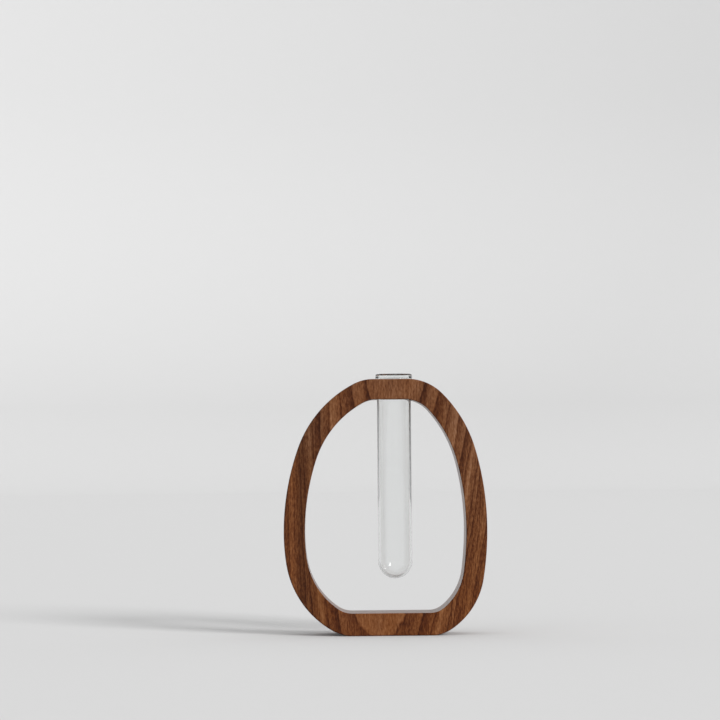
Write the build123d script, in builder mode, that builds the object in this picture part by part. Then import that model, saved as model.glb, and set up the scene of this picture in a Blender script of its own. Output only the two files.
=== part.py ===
"""Test tube vase: an egg-shaped walnut ring with a glass tube hanging in its top limb.

Millimetres. The ring stands on the XY plane and faces -Y, with its width along X,
and the origin is under the middle of its width and depth.
"""

import os
from math import atan, cos, degrees, pi, sin, tan

from build123d import *

# Glass tube
tube_diameter = 25.0
tube_length = 150.0
tube_wall = 1.2
tube_end_wall = 1.6
tube_offset = 7.3

# Lip of the tube: reach past the wall, height from the start of its flare, and bevel of its inner edge
lip_overhang = 1.0
lip_height = 4.7
lip_bevel = 0.6

# Rounding of the lip's outer edge, as a share of the lip's thickness
lip_round_share = 0.6

# Hole in the top limb: play around the tube, coned rim at each end, and gap between flare and rim
tube_play = 0.3
rim_ease = 0.6
rim_angle = 90.0
seat_gap = 0.15

# Ring: width, wood before and behind the hole, and space between the tube's end and the foot
ring_width = 148.4
tube_cover = 5.2
tube_clear = 24.45

# Ring: thickness of the limb at the sides, over the window and under it
side_limb = 15.4
top_limb = 14.9
foot_limb = 16.5

# Ring: rounding of the outer edges, and the narrower bevel around the window
edge_round = 1.2
window_bevel = 0.5

# Height of the widest point on each side, which makes the egg lopsided
left_widest = 75.0
right_widest = 77.5

# Left and right ends of the flats of the ring's outline and of the window's, as shares of its reach
top_shares = (-0.115, 0.223)
foot_shares = (-0.317, 0.441)
window_top_shares = (-0.105, 0.243)
window_foot_shares = (-0.418, 0.548)

# Left and right corners beside those flats
top_corners = (30.0, 36.0)
foot_corners = (32.5, 27.0)
window_top_corners = (20.3, 24.2)
window_foot_corners = (18.1, 15.4)

# How far each quarter of the egg has turned after its first two arcs, as shares of a round quarter
left_shoulder_shares = (0.351, 0.816)
left_hip_shares = (0.140, 0.756)
right_shoulder_shares = (0.322, 0.692)
right_hip_shares = (0.192, 0.782)

# Every cut runs past the wood by this much
overrun = 10.0

# Radii of the tube and its hole
tube_radius = tube_diameter / 2
bore_radius = tube_radius - tube_wall
lip_radius = tube_radius + lip_overhang
lip_round = lip_round_share * (lip_radius - bore_radius)
hole_radius = tube_radius + tube_play
rim_radius = hole_radius + rim_ease

# Heights, from the foot up the tube to its lip, which sets the height of the ring
tube_bottom = foot_limb + tube_clear
end_centre = tube_bottom + tube_radius
bore_end = tube_bottom + tube_end_wall
bore_centre = bore_end + bore_radius
tube_top = tube_bottom + tube_length
flare_start = tube_top - lip_height
flare_end = flare_start + lip_overhang
ring_height = flare_start - seat_gap + tube_play + rim_ease
window_top = ring_height - top_limb

# Reach of the ring and of its window from the middle
half_width = ring_width / 2
window_half_width = half_width - side_limb
half_depth = hole_radius + tube_cover
ring_depth = 2 * half_depth

tube_axis = Axis((tube_offset, 0, 0), (0, 0, 1))
tube_plane = Plane((tube_offset, 0, 0), x_dir=(1, 0, 0), z_dir=(0, -1, 0))
quarter_turn = pi / 2


def quarter(reach, widest, flat_end, level, corner, turn_shares):
    """Three tangent arcs from the widest point of one side to the end of a flat.

    The turns of a round quarter are stretched to this one's width and height. The last arc is the
    corner beside the flat, and the radii of the other two are solved so that the chain spans both.
    """
    side = 1 if reach > 0 else -1
    rise = 1 if level > widest else -1
    width = abs(reach - flat_end)
    height = abs(level - widest)
    turn_1, turn_2 = [atan(tan(quarter_turn * share) * width / height) for share in turn_shares]
    span = width - corner * cos(turn_2)
    climb = height - corner * (1 - sin(turn_2))
    span_1, climb_1 = 1 - cos(turn_1), sin(turn_1)
    span_2, climb_2 = cos(turn_1) - cos(turn_2), sin(turn_2) - sin(turn_1)
    spread = climb_1 * span_2 - span_1 * climb_2
    radius_1 = (climb * span_2 - span * climb_2) / spread
    radius_2 = (span * climb_1 - climb * span_1) / spread
    turning = side * rise
    arc_1 = JernArc((reach, widest), (0, rise), radius_1, turning * degrees(turn_1))
    arc_2 = JernArc(arc_1 @ 1, arc_1 % 1, radius_2, turning * degrees(turn_2 - turn_1))
    JernArc(arc_2 @ 1, arc_2 % 1, corner, turning * degrees(quarter_turn - turn_2))


def egg_outline(reach, bottom, top, foot_shares, foot_corners, top_shares, top_corners):
    """Closed egg outline: a flat below, a flat above and two quarters up each side."""
    foot_left, foot_right = [reach * share for share in foot_shares]
    top_left, top_right = [reach * share for share in top_shares]
    Line((foot_left, bottom), (foot_right, bottom))
    Line((top_left, top), (top_right, top))
    quarter(-reach, left_widest, foot_left, bottom, foot_corners[0], left_hip_shares)
    quarter(-reach, left_widest, top_left, top, top_corners[0], left_shoulder_shares)
    quarter(reach, right_widest, foot_right, bottom, foot_corners[1], right_hip_shares)
    quarter(reach, right_widest, top_right, top, top_corners[1], right_shoulder_shares)


os.makedirs("parts", exist_ok=True)

# The ring is one board of walnut, sawn to the egg outline, with rounded edges and a window inside
with BuildPart() as walnut_ring:
    with BuildSketch(Plane.XZ.offset(-half_depth)):
        with BuildLine():
            egg_outline(half_width, 0, ring_height, foot_shares, foot_corners, top_shares, top_corners)
        make_face()
    extrude(amount=ring_depth)
    fillet(walnut_ring.faces().filter_by(Axis.Y).edges(), radius=edge_round)
    with BuildSketch(Plane.XZ.offset(-half_depth - overrun)):
        with BuildLine():
            egg_outline(window_half_width, foot_limb, window_top, window_foot_shares,
                        window_foot_corners, window_top_shares, window_top_corners)
        make_face()
    extrude(amount=ring_depth + 2 * overrun, mode=Mode.SUBTRACT)
    window_edges = walnut_ring.edges(Select.LAST).filter_by(Axis.Y, reverse=True)
    chamfer(window_edges, length=window_bevel)
    # The tube's hole is coned at the top, where the lip seats, and eased below
    with Locations((tube_offset, 0, ring_height)):
        CounterSinkHole(hole_radius, rim_radius, top_limb + overrun, rim_angle)
    with Locations(Location((tube_offset, 0, window_top), (180, 0, 0))):
        CounterSinkHole(hole_radius, rim_radius, overrun, rim_angle)

walnut_ring.part.label = "walnut_ring"
export_step(walnut_ring.part, "parts/walnut_ring.step")

# The tube is one turned wall: round end, straight body, and a flared lip with a rounded top
with BuildPart() as glass_tube:
    with BuildSketch(tube_plane):
        with BuildLine():
            FilletPolyline((tube_radius, end_centre), (tube_radius, flare_start),
                           (lip_radius, flare_end), (lip_radius, tube_top),
                           (bore_radius + lip_bevel, tube_top), (bore_radius, tube_top - lip_bevel),
                           (bore_radius, bore_centre), radius=[0, 0, lip_round, 0, 0])
            RadiusArc((bore_radius, bore_centre), (0, bore_end), bore_radius)
            Line((0, bore_end), (0, tube_bottom))
            RadiusArc((0, tube_bottom), (tube_radius, end_centre), -tube_radius)
        make_face()
    revolve(axis=tube_axis)

glass_tube.part.label = "glass_tube"
export_step(glass_tube.part, "parts/glass_tube.step")
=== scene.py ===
import math

import bpy
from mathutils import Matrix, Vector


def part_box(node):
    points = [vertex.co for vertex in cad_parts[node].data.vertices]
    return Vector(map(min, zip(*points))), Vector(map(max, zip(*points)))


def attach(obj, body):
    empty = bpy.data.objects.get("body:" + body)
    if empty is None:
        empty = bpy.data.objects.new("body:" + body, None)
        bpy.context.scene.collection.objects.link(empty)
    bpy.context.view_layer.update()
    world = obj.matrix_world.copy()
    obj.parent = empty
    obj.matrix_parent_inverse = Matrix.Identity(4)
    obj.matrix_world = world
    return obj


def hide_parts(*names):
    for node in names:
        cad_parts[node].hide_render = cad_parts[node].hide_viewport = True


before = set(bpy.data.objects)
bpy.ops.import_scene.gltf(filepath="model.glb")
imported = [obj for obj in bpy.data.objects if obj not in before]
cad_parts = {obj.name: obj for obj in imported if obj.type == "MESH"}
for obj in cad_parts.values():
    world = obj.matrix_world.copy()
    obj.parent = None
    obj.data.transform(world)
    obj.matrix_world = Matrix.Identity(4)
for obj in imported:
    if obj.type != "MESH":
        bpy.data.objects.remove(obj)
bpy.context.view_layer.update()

MM = 0.001

# Tube sizes in millimetres; its axis, reach and height come from the frame
TUBE_WALL = 1.2
TUBE_END_WALL = 1.6
LIP_OVERHANG = 1.0
LIP_HEIGHT = 4.7
LIP_CROWN = 1.8
FLARE_EASE = 0.8

# Angle of the lip's flare in degrees, and steps around the tube and along an arc
FLARE_ANGLE = 45.0
TUBE_STEPS = 160
ARC_STEPS = 24

# Glass: draw lines and haze as features per millimetre along X, Y and Z, and colours across the draw lines
DRAW_GRAIN = (0.5, 0.5, 0.012)
HAZE_GRAIN = (0.12, 0.12, 0.05)
GLASS_STOPS = [(0.3, (0.985, 0.992, 0.990)), (0.7, (0.995, 0.998, 0.997))]

# Glass: roughness of the haze, relief of the draw lines with its depth in millimetres, and absorption
HAZE_SPAN = (0.45, 0.75)
HAZE_ROUGHNESS = 0.02
DRAW_RELIEF = 0.25
DRAW_DEPTH = 0.02
GLASS_IOR = 1.474
GLASS_TINT = (0.66, 0.70, 0.69, 1.0)
GLASS_DENSITY = 25.0

# Walnut: the pith line lies in front of the board, in millimetres from the frame's origin. Going up,
# it leans to the right and comes nearer to the board by these shares of the height
PITH_X = 2.0
PITH_HEIGHT = 93.0
PITH_DISTANCE = 68.0
PITH_LEAN = 0.069
PITH_TAPER = 0.13

# Growth rings: the radius of the first, their spacing, and how they crowd further out, in millimetres
RING_FIRST = 3.6
RING_SPACING = 6.6
CROWD_START = 55.0
CROWD_REACH = 19.0
CROWD_POWER = 3.0

# How far the rings wander and ripple, in millimetres
WANDER_REACH = 1.6
RIPPLE_REACH = 0.6

# Distances from the pith between which the rings' lines give way to broad streaks, in millimetres
EDGE_SPAN = (71.0, 82.0)

# Noises of the wood as features per millimetre along X, Y and Z, and of the streaks along the radius
WANDER_GRAIN = (0.05, 0.05, 0.016)
RIPPLE_GRAIN = (0.35, 0.35, 0.05)
FIBRE_GRAIN = (1.2, 1.2, 0.05)
FLECK_GRAIN = (1.1, 1.1, 0.3)
PORE_GRAIN = (2.6, 2.6, 0.2)
TONE_GRAIN = (0.045, 0.045, 0.012)
STREAK_GRAIN = 0.13

# Seeds for the strength of each year's ring and for the streaks
YEAR_SEED = 44.0
STREAK_SEED = 35.6

# Stretches of a noise's range that are used
FULL_SPAN = (0.0, 1.0)
WIDE_SPAN = (0.2, 0.8)
MIDDLE_SPAN = (0.3, 0.7)
TONE_SPAN = (0.35, 0.65)
PORE_SPAN = (0.58, 0.72)

# Darkness of the wood, the rings' lines and the streaks, each in the middle and at the edges
WOOD_DARK = (0.11, 0.17)
LINE_DARK = (0.62, 0.37)
STREAK_DARK = (0.3, 0.65)

# Darkness of fibres and flecks at most, strength of a year's ring, and swing of the streaks
FIBRE_DARK = 0.26
FLECK_DARK = 0.48
YEAR_STRENGTH = (0.4, 1.0)
STREAK_SWING = 0.5

# Darkness along one growth ring, and colours of the wood from pale to dark
RING_STOPS = [(0.0, 0.15), (0.05, 1.0), (0.14, 0.7), (0.45, 0.3), (0.9, 0.0), (1.0, 0.15)]
WOOD_STOPS = [(0.1, (0.264, 0.128, 0.071)), (0.45, (0.162, 0.064, 0.0276)),
              (0.75, (0.084, 0.0254, 0.0087)), (1.0, (0.037, 0.0089, 0.0025))]

# Tints across the board: a dark streak near the left edge, and greyer wood at the right
SIDE_STOPS = [(0.0, (0.90, 0.90, 0.90)), (0.045, (1.03, 1.03, 1.03)), (0.085, (0.60, 0.60, 0.60)),
              (0.2, (0.82, 0.82, 0.82)), (0.28, (0.98, 0.98, 0.98)), (0.5, (0.93, 0.93, 0.93)),
              (1.0, (1.0, 1.06, 1.14))]

# Tints up the board, from orange at the foot to grey brown at the top
RISE_STOPS = [(0.0, (1.0, 0.88, 0.66)), (0.5, (1.0, 0.95, 0.80)), (1.0, (1.0, 1.03, 1.06))]

# Tint of the warmer patches, and colour and weight of the pores
WARM_TINT = (1.0, 0.92, 0.75, 1.0)
PORE_COLOUR = (0.022, 0.006, 0.002, 1.0)
PORE_WEIGHT = 0.35

# Satin oil finish: roughness, relief with its depth in millimetres, and the oil as a coat
WOOD_ROUGHNESS = (0.40, 0.52)
PORE_ROUGHNESS = 0.2
FIBRE_RELIEF = 0.35
WOOD_RELIEF = 0.35
PORE_DEPTH = 0.06
WOOD_SPECULAR = 0.04
COAT_WEIGHT = 1.0
COAT_ROUGHNESS = 0.3
COAT_IOR = 1.18

# Camera at the photo's viewing angle: place in metres, angles in degrees, lens in millimetres
CAMERA_PLACE = (-0.0398, -1.9229, 0.1431)
CAMERA_TILT = 1.738
CAMERA_ROLL = 0.5
CAMERA_TURN = -0.654
CAMERA_LENS = 130.7
SENSOR_WIDTH = 36.0

# Stage: a pale floor that curves up into a wall all round, in metres, and its steps around
FLOOR_RADIUS = 5.0
COVE_RADIUS = 1.2
WALL_HEIGHT = 1.6
STAGE_STEPS = 96

# Pale greys of the stage, chosen so that it looks even: where it faces the key light it is darker
FLOOR_SHADE = 0.62
LIT_COVE_SHADE = 0.53
LIT_WALL_SHADE = 0.60
DIM_COVE_SHADE = 0.90
DIM_WALL_SHADE = 0.95
COVE_MIDDLE = 0.45
STAGE_ROUGHNESS = 0.9

# Lights: the key's direction and softness in degrees, its strength, and the world around it
KEY_TURN = 45.0
KEY_ELEVATION = 26.0
KEY_SOFTNESS = 20.0
KEY_STRENGTH = 2.4
WORLD_COLOUR = (1.0, 1.0, 1.0, 1.0)
WORLD_STRENGTH = 0.8

# Screen all round, which only draws the dark lines at the edges of the glass: its size in metres,
# its greys, and the heights between which the pale one below fades into the dark one above
SCREEN_RADIUS = 2.2
SCREEN_HEIGHT = 0.6
SCREEN_PALE = 0.3
SCREEN_DARK = 0.004
SCREEN_FADE = (0.02, 0.16)

# A look through the edge of the tube's wall crosses two surfaces, and one through the tube crosses four
EDGE_CROSSINGS = 2
CROSSING_LEEWAY = 0.5

# Places of the colour sockets on a mix node, which repeats its sockets for each kind of value
MIX_FACTOR = 0
MIX_FIRST = 6
MIX_SECOND = 7
MIX_RESULT = 2


def set_inputs(tree, node, inputs):
    """Inputs of a node set to values, or linked where the value is a socket."""
    for key, value in inputs.items():
        if isinstance(value, bpy.types.NodeSocket):
            tree.links.new(value, node.inputs[key])
        else:
            node.inputs[key].default_value = value


def add_node(tree, kind, inputs=None, **settings):
    """A node with its settings made and its inputs set or linked."""
    node = tree.nodes.new(kind)
    for name, value in settings.items():
        setattr(node, name, value)
    set_inputs(tree, node, inputs or {})
    return node


def calculate(tree, operation, *values):
    """The output of a math node."""
    return add_node(tree, "ShaderNodeMath", dict(enumerate(values)), operation=operation).outputs[0]


def stretch(tree, place, scale):
    """Coordinates multiplied axis by axis."""
    node = add_node(tree, "ShaderNodeVectorMath", {0: place, 1: scale}, operation="MULTIPLY")
    return node.outputs[0]


def object_place(tree):
    """Coordinates on the object, in metres."""
    return add_node(tree, "ShaderNodeTexCoord").outputs["Object"]


def millimetre_place(tree):
    """Coordinates on the object, in millimetres."""
    return stretch(tree, object_place(tree), (1 / MM, 1 / MM, 1 / MM))


def axes(tree, place):
    """The X, Y and Z of coordinates."""
    return add_node(tree, "ShaderNodeSeparateXYZ", {0: place}).outputs


def noise(tree, place, grain, detail=2.0, roughness=0.5):
    """Soft noise between 0 and 1, with its features per unit of length along each axis."""
    node = add_node(tree, "ShaderNodeTexNoise",
                    {"Vector": stretch(tree, place, grain), "Scale": 1.0,
                     "Detail": detail, "Roughness": roughness})
    return node.outputs["Fac"]


def remap(tree, value, span, result=(0.0, 1.0)):
    """A value mapped from one range to another and held within it."""
    node = add_node(tree, "ShaderNodeMapRange",
                    {"Value": value, "From Min": span[0], "From Max": span[1],
                     "To Min": result[0], "To Max": result[1]})
    return node.outputs["Result"]


def ramp(tree, value, stops):
    """A colour ramp with (position, colour) stops."""
    node = add_node(tree, "ShaderNodeValToRGB", {"Fac": value})
    elements = node.color_ramp.elements
    while len(elements) < len(stops):
        elements.new(1.0)
    for element, (position, colour) in zip(elements, stops):
        element.position = position
        element.color = (*colour, 1.0)
    return node.outputs["Color"]


def blend(tree, factor, first, second, mode="MIX"):
    """Two colours mixed by a factor."""
    inputs = {MIX_FACTOR: factor, MIX_FIRST: first, MIX_SECOND: second}
    node = add_node(tree, "ShaderNodeMix", inputs, data_type="RGBA", blend_type=mode)
    return node.outputs[MIX_RESULT]


def new_material(name):
    """A node material with its principled shader."""
    material = bpy.data.materials.new(name)
    material.use_nodes = True
    tree = material.node_tree
    return material, tree, tree.nodes["Principled BSDF"]


def pith_distance(tree, place):
    """Distance from the pith line, with the wander and ripple of the growth rings."""
    x, y, z = axes(tree, place)
    height = calculate(tree, "SUBTRACT", z, PITH_HEIGHT)
    across = calculate(tree, "SUBTRACT", x, calculate(tree, "MULTIPLY_ADD", height, PITH_LEAN, PITH_X))
    distance = calculate(tree, "MULTIPLY_ADD", height, -PITH_TAPER, PITH_DISTANCE)
    depth = calculate(tree, "ADD", y, distance)
    across_squared = calculate(tree, "MULTIPLY", across, across)
    depth_squared = calculate(tree, "MULTIPLY", depth, depth)
    radius = calculate(tree, "SQRT", calculate(tree, "ADD", across_squared, depth_squared))
    wander = noise(tree, place, WANDER_GRAIN, detail=3.0)
    ripple = noise(tree, place, RIPPLE_GRAIN)
    radius = calculate(tree, "ADD", radius, remap(tree, wander, FULL_SPAN, (-WANDER_REACH, WANDER_REACH)))
    return calculate(tree, "ADD", radius, remap(tree, ripple, FULL_SPAN, (-RIPPLE_REACH, RIPPLE_REACH)))


def ring_lines(tree, radius):
    """Growth rings: darkest soon after their start, paler towards the end, and no two alike."""
    count = calculate(tree, "DIVIDE", calculate(tree, "SUBTRACT", radius, RING_FIRST), RING_SPACING)
    beyond = calculate(tree, "MAXIMUM", calculate(tree, "SUBTRACT", radius, CROWD_START), 0.0)
    crowd = calculate(tree, "POWER", calculate(tree, "DIVIDE", beyond, CROWD_REACH), CROWD_POWER)
    count = calculate(tree, "ADD", count, crowd)
    stops = [(position, (dark, dark, dark)) for position, dark in RING_STOPS]
    line = ramp(tree, calculate(tree, "FRACT", count), stops)
    year = calculate(tree, "ADD", calculate(tree, "FLOOR", count), YEAR_SEED)
    chance = add_node(tree, "ShaderNodeTexWhiteNoise", {"W": year}, noise_dimensions="1D")
    return calculate(tree, "MULTIPLY", line, remap(tree, chance.outputs["Value"], FULL_SPAN, YEAR_STRENGTH))


def ring_streaks(tree, radius):
    """Broad streaks along the growth rings, as much paler as darker."""
    along = calculate(tree, "MULTIPLY_ADD", radius, STREAK_GRAIN, STREAK_SEED)
    band = add_node(tree, "ShaderNodeTexNoise", {"W": along, "Scale": 1.0, "Detail": 1.0},
                    noise_dimensions="1D")
    return remap(tree, band.outputs["Fac"], MIDDLE_SPAN, (-STREAK_SWING, STREAK_SWING))


def walnut_material():
    """Flat-sawn walnut: growth rings around a leaning pith, fibres, pores, and a satin oil finish."""
    material, tree, shader = new_material("walnut_oiled")
    place = millimetre_place(tree)
    radius = pith_distance(tree, place)

    # Fibres, flecks and pores run along the height
    fibre = noise(tree, place, FIBRE_GRAIN, detail=4.0, roughness=0.6)
    fleck = noise(tree, place, FLECK_GRAIN, detail=3.0, roughness=0.7)
    pore = remap(tree, noise(tree, place, PORE_GRAIN), PORE_SPAN)
    tone = remap(tree, noise(tree, place, TONE_GRAIN), TONE_SPAN)

    # Towards the board's edges the rings' lines fade, and broad streaks take over
    line_weight = remap(tree, radius, EDGE_SPAN, LINE_DARK)
    streak_weight = remap(tree, radius, EDGE_SPAN, STREAK_DARK)
    dark = remap(tree, radius, EDGE_SPAN, WOOD_DARK)
    dark = calculate(tree, "MULTIPLY_ADD", ring_lines(tree, radius), line_weight, dark)
    dark = calculate(tree, "MULTIPLY_ADD", ring_streaks(tree, radius), streak_weight, dark)
    dark = calculate(tree, "ADD", dark, remap(tree, fibre, MIDDLE_SPAN, (0.0, FIBRE_DARK)))
    dark = calculate(tree, "ADD", dark, remap(tree, fleck, MIDDLE_SPAN, (0.0, FLECK_DARK)))
    colour = ramp(tree, dark, WOOD_STOPS)
    colour = blend(tree, tone, colour, WARM_TINT, "MULTIPLY")

    # The whole board is tinted from left to right and from foot to top, and the pores are dark
    low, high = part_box("walnut_ring")
    x, _, z = axes(tree, place)
    side = ramp(tree, remap(tree, x, (low.x / MM, high.x / MM)), SIDE_STOPS)
    rise = ramp(tree, remap(tree, z, (low.z / MM, high.z / MM)), RISE_STOPS)
    colour = blend(tree, 1.0, colour, side, "MULTIPLY")
    colour = blend(tree, 1.0, colour, rise, "MULTIPLY")
    colour = blend(tree, calculate(tree, "MULTIPLY", pore, PORE_WEIGHT), colour, PORE_COLOUR)

    sheen = remap(tree, fibre, WIDE_SPAN, WOOD_ROUGHNESS)
    roughness = calculate(tree, "ADD", sheen, calculate(tree, "MULTIPLY", pore, PORE_ROUGHNESS))
    relief = calculate(tree, "SUBTRACT", calculate(tree, "MULTIPLY", fibre, FIBRE_RELIEF), pore)
    bump = add_node(tree, "ShaderNodeBump",
                    {"Strength": WOOD_RELIEF, "Distance": PORE_DEPTH * MM, "Height": relief})
    set_inputs(tree, shader, {
        "Base Color": colour,
        "Roughness": roughness,
        "Normal": bump.outputs[0],
        "Specular IOR Level": WOOD_SPECULAR,
        "Coat Weight": COAT_WEIGHT,
        "Coat Roughness": COAT_ROUGHNESS,
        "Coat IOR": COAT_IOR,
    })
    return material


def glass_material():
    """Clear drawn glass: faint lengthwise draw lines, a trace of green, and barely any haze."""
    material, tree, shader = new_material("tube_glass_clear")
    place = millimetre_place(tree)
    draw = noise(tree, place, DRAW_GRAIN)
    haze = noise(tree, place, HAZE_GRAIN, detail=3.0)
    bump = add_node(tree, "ShaderNodeBump",
                    {"Strength": DRAW_RELIEF, "Distance": DRAW_DEPTH * MM, "Height": draw})
    set_inputs(tree, shader, {
        "Base Color": ramp(tree, draw, GLASS_STOPS),
        "Roughness": remap(tree, haze, HAZE_SPAN, (0.0, HAZE_ROUGHNESS)),
        "Normal": bump.outputs[0],
        "Transmission Weight": 1.0,
        "IOR": GLASS_IOR,
    })
    absorb = add_node(tree, "ShaderNodeVolumeAbsorption", {"Color": GLASS_TINT, "Density": GLASS_DENSITY})
    set_inputs(tree, tree.nodes["Material Output"], {"Volume": absorb.outputs[0]})
    return material


def arc(centre, radii, start, end):
    """Points (radius, height) of an arc with its own two radii, from angle to angle in degrees."""
    points = []
    for step in range(ARC_STEPS + 1):
        angle = math.radians(start + (end - start) * step / ARC_STEPS)
        points.append((centre[0] + radii[0] * math.cos(angle), centre[1] + radii[1] * math.sin(angle)))
    return points


def tube_profile(bottom, top, lip_radius):
    """Outline (radius, height) of the tube's wall, from its round end up to the lip and down the bore."""
    tube_radius = lip_radius - LIP_OVERHANG
    bore_radius = tube_radius - TUBE_WALL
    half_lip = (lip_radius - bore_radius) / 2
    bore_centre = bottom + TUBE_END_WALL + bore_radius
    # The flare eases out of the wall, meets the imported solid's cone and curves up into the lip
    widening = 1 - math.cos(math.radians(FLARE_ANGLE))
    climb = math.sin(math.radians(FLARE_ANGLE))
    ease_width = FLARE_EASE * widening
    flare_radius = (LIP_OVERHANG - ease_width) / widening
    cone_height = top - LIP_HEIGHT + ease_width / math.tan(math.radians(FLARE_ANGLE))
    ease_start = cone_height - FLARE_EASE * climb
    flare_end = cone_height + flare_radius * climb
    points = arc((0, bottom + tube_radius), (tube_radius, tube_radius), -90, 0)
    points.append((tube_radius, ease_start - FLARE_EASE))
    points += arc((tube_radius + FLARE_EASE, ease_start), (FLARE_EASE, FLARE_EASE), 180, 180 - FLARE_ANGLE)
    points += arc((lip_radius - flare_radius, flare_end), (flare_radius, flare_radius), -FLARE_ANGLE, 0)[1:]
    points += arc((bore_radius + half_lip, top - LIP_CROWN), (half_lip, LIP_CROWN), 0, 180)
    points += arc((0, bore_centre), (bore_radius, bore_radius), 0, -90)
    return points


def lathe(name, profile, axis_x, around):
    """A smooth turned mesh from (radius, height) points; points on the axis become poles."""
    vertices = []
    rows = []
    for radius, height in profile:
        count = around if radius > 0 else 1
        rows.append(range(len(vertices), len(vertices) + count))
        for step in range(count):
            angle = 2 * math.pi * step / around
            vertices.append((axis_x + radius * math.cos(angle), radius * math.sin(angle), height))
    faces = []
    for lower, upper in zip(rows, rows[1:]):
        for step in range(around):
            follow = (step + 1) % around
            corners = [lower[step % len(lower)], lower[follow % len(lower)],
                       upper[follow % len(upper)], upper[step % len(upper)]]
            faces.append(list(dict.fromkeys(corners)))
    mesh = bpy.data.meshes.new(name)
    mesh.from_pydata(vertices, [], faces)
    mesh.polygons.foreach_set("use_smooth", [True] * len(mesh.polygons))
    mesh.update()
    piece = bpy.data.objects.new(name, mesh)
    bpy.context.scene.collection.objects.link(piece)
    return piece


def dress_ring():
    """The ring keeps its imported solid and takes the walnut."""
    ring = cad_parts["walnut_ring"]
    ring.data.materials.clear()
    ring.data.materials.append(walnut_material())


def make_tube():
    """The tube as a finely turned wall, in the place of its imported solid."""
    low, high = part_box("glass_tube")
    lip_radius = (high.x - low.x) / 2 / MM
    outline = tube_profile(low.z / MM, high.z / MM, lip_radius)
    profile = [(radius * MM, height * MM) for radius, height in outline]
    # Both ends of the outline lie exactly on the axis
    profile[0] = (0.0, profile[0][1])
    profile[-1] = (0.0, profile[-1][1])
    tube = lathe("blown_tube", profile, (low.x + high.x) / 2, TUBE_STEPS)
    tube.data.materials.append(glass_material())
    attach(tube, "tube")
    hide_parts("glass_tube")


def stage_material():
    """Matt pale grey, evened out between the side that faces the key light and the other."""
    material, tree, shader = new_material("stage_pale")
    x, y, z = axes(tree, object_place(tree))
    turn = math.radians(KEY_TURN)
    facing = calculate(tree, "MULTIPLY", y, math.cos(turn))
    facing = calculate(tree, "MULTIPLY_ADD", x, -math.sin(turn), facing)
    reach = FLOOR_RADIUS * math.cos(turn)
    cove_shade = remap(tree, facing, (-reach, reach), (DIM_COVE_SHADE, LIT_COVE_SHADE))
    wall_shade = remap(tree, facing, (-reach, reach), (DIM_WALL_SHADE, LIT_WALL_SHADE))
    steep = calculate(tree, "SQRT", calculate(tree, "DIVIDE", z, COVE_RADIUS))
    shade = remap(tree, steep, (0.0, COVE_MIDDLE), (FLOOR_SHADE, cove_shade))
    shade = remap(tree, steep, (COVE_MIDDLE, 1.0), (shade, wall_shade))
    set_inputs(tree, shader, {"Base Color": shade, "Roughness": STAGE_ROUGHNESS, "Specular IOR Level": 0.0})
    return material


def make_stage():
    """Pale floor that curves into a wall all round."""
    profile = [(0.0, 0.0)]
    profile += arc((FLOOR_RADIUS, COVE_RADIUS), (COVE_RADIUS, COVE_RADIUS), -90, 0)
    profile.append((FLOOR_RADIUS + COVE_RADIUS, WALL_HEIGHT))
    stage = lathe("stage", profile, 0.0, STAGE_STEPS)
    # The low key light passes through the wall, which would darken the floor behind it
    stage.visible_shadow = False
    stage.data.materials.append(stage_material())


def screen_material():
    """Grey that is darker above, and clear to all but a look through the edge of the glass."""
    material, tree, shader = new_material("screen_dark")
    height = axes(tree, object_place(tree))["Z"]
    crossed = add_node(tree, "ShaderNodeLightPath").outputs["Transmission Depth"]
    set_inputs(tree, shader, {
        "Base Color": remap(tree, height, SCREEN_FADE, (SCREEN_PALE, SCREEN_DARK)),
        "Specular IOR Level": 0.0,
        "Alpha": calculate(tree, "COMPARE", crossed, EDGE_CROSSINGS, CROSSING_LEEWAY),
    })
    return material


def make_screen():
    """Dark screen all round that only shows through the edges of the glass."""
    profile = [(SCREEN_RADIUS, 0.0), (SCREEN_RADIUS, SCREEN_HEIGHT)]
    screen = lathe("screen", profile, 0.0, STAGE_STEPS)
    screen.data.materials.append(screen_material())
    screen.visible_camera = False
    screen.visible_diffuse = False
    screen.visible_shadow = False


def make_lights():
    """One soft key light from the front right, and an even world around it."""
    data = bpy.data.lights.new("key", "SUN")
    data.angle = math.radians(KEY_SOFTNESS)
    data.energy = KEY_STRENGTH
    key = bpy.data.objects.new("key", data)
    key.rotation_euler = [math.radians(angle) for angle in (90 - KEY_ELEVATION, 0, KEY_TURN)]
    # It makes no glare on the wood where that is seen against the light
    key.visible_glossy = False
    bpy.context.scene.collection.objects.link(key)
    world = bpy.data.worlds.new("studio")
    world.use_nodes = True
    background = world.node_tree.nodes["Background"]
    set_inputs(world.node_tree, background, {"Color": WORLD_COLOUR, "Strength": WORLD_STRENGTH})
    bpy.context.scene.world = world


def make_camera():
    """Camera at the photo's viewing angle."""
    data = bpy.data.cameras.new("camera")
    data.lens = CAMERA_LENS
    data.sensor_width = SENSOR_WIDTH
    camera = bpy.data.objects.new("camera", data)
    camera.location = CAMERA_PLACE
    camera.rotation_euler = [math.radians(angle) for angle in (90 + CAMERA_TILT, CAMERA_ROLL, CAMERA_TURN)]
    bpy.context.scene.collection.objects.link(camera)
    bpy.context.scene.camera = camera


dress_ring()
make_tube()
make_stage()
make_screen()
make_lights()
make_camera()
bpy.context.scene.view_settings.view_transform = "Standard"
